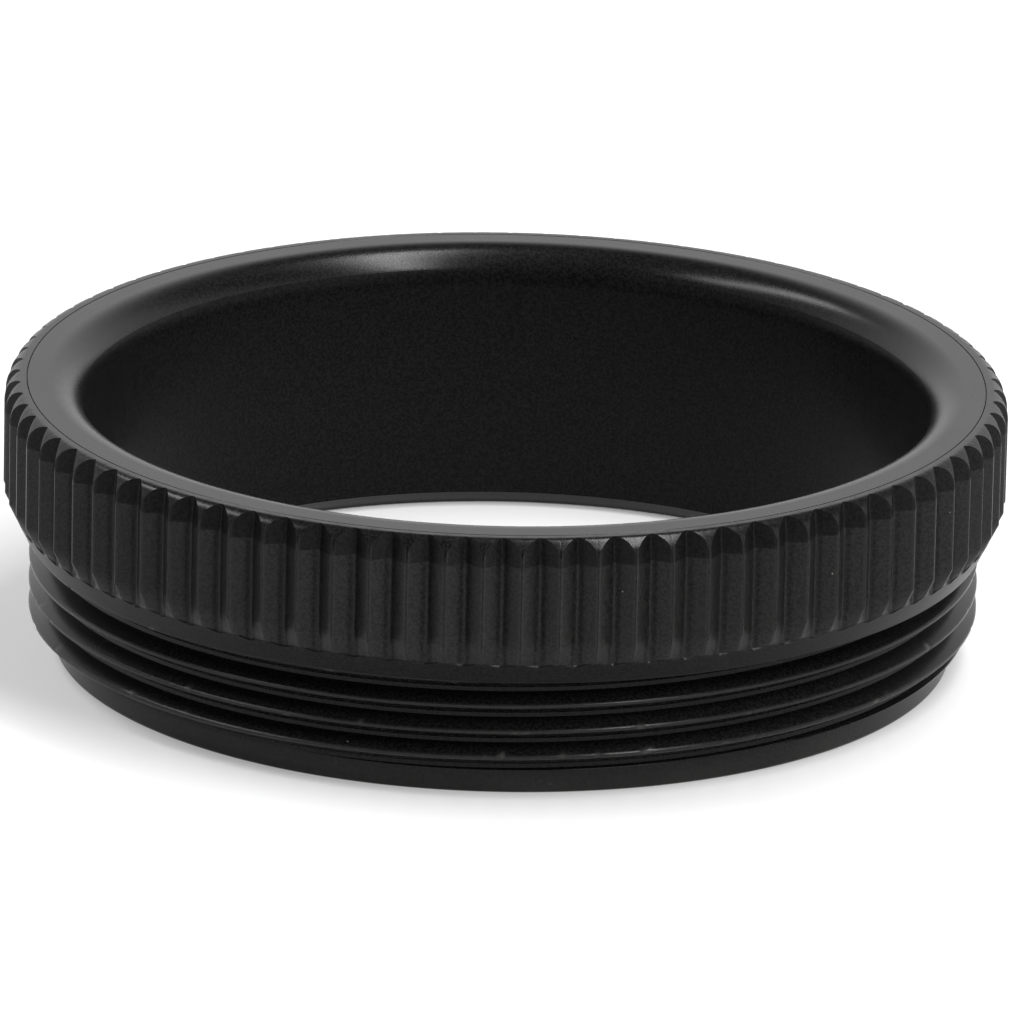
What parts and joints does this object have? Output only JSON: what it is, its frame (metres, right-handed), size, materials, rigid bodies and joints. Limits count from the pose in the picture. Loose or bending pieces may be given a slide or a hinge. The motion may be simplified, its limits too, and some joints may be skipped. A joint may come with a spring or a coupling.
{
  "type": "barlow lens eyepiece ring",
  "caption": "Open black ring with a straight-knurled grip, a smooth rounded eyepiece bore and a male thread below, for the eyepiece end of a barlow lens.",
  "frame": {"origin": "centre of the lower end face, on the ring axis", "axes": "+Z along the ring axis, towards the rounded mouth that takes the eyepiece"},
  "size_m": [0.038, 0.038, 0.0104],
  "materials": {
    "sleeve_anodised": "satin black anodised, turned",
    "grip_anodised": "satin black anodised, straight knurl"
  },
  "bodies": {
    "root": {"threaded_sleeve": "sleeve_anodised", "knurled_grip_ring": "grip_anodised"}
  },
  "joints": []
}
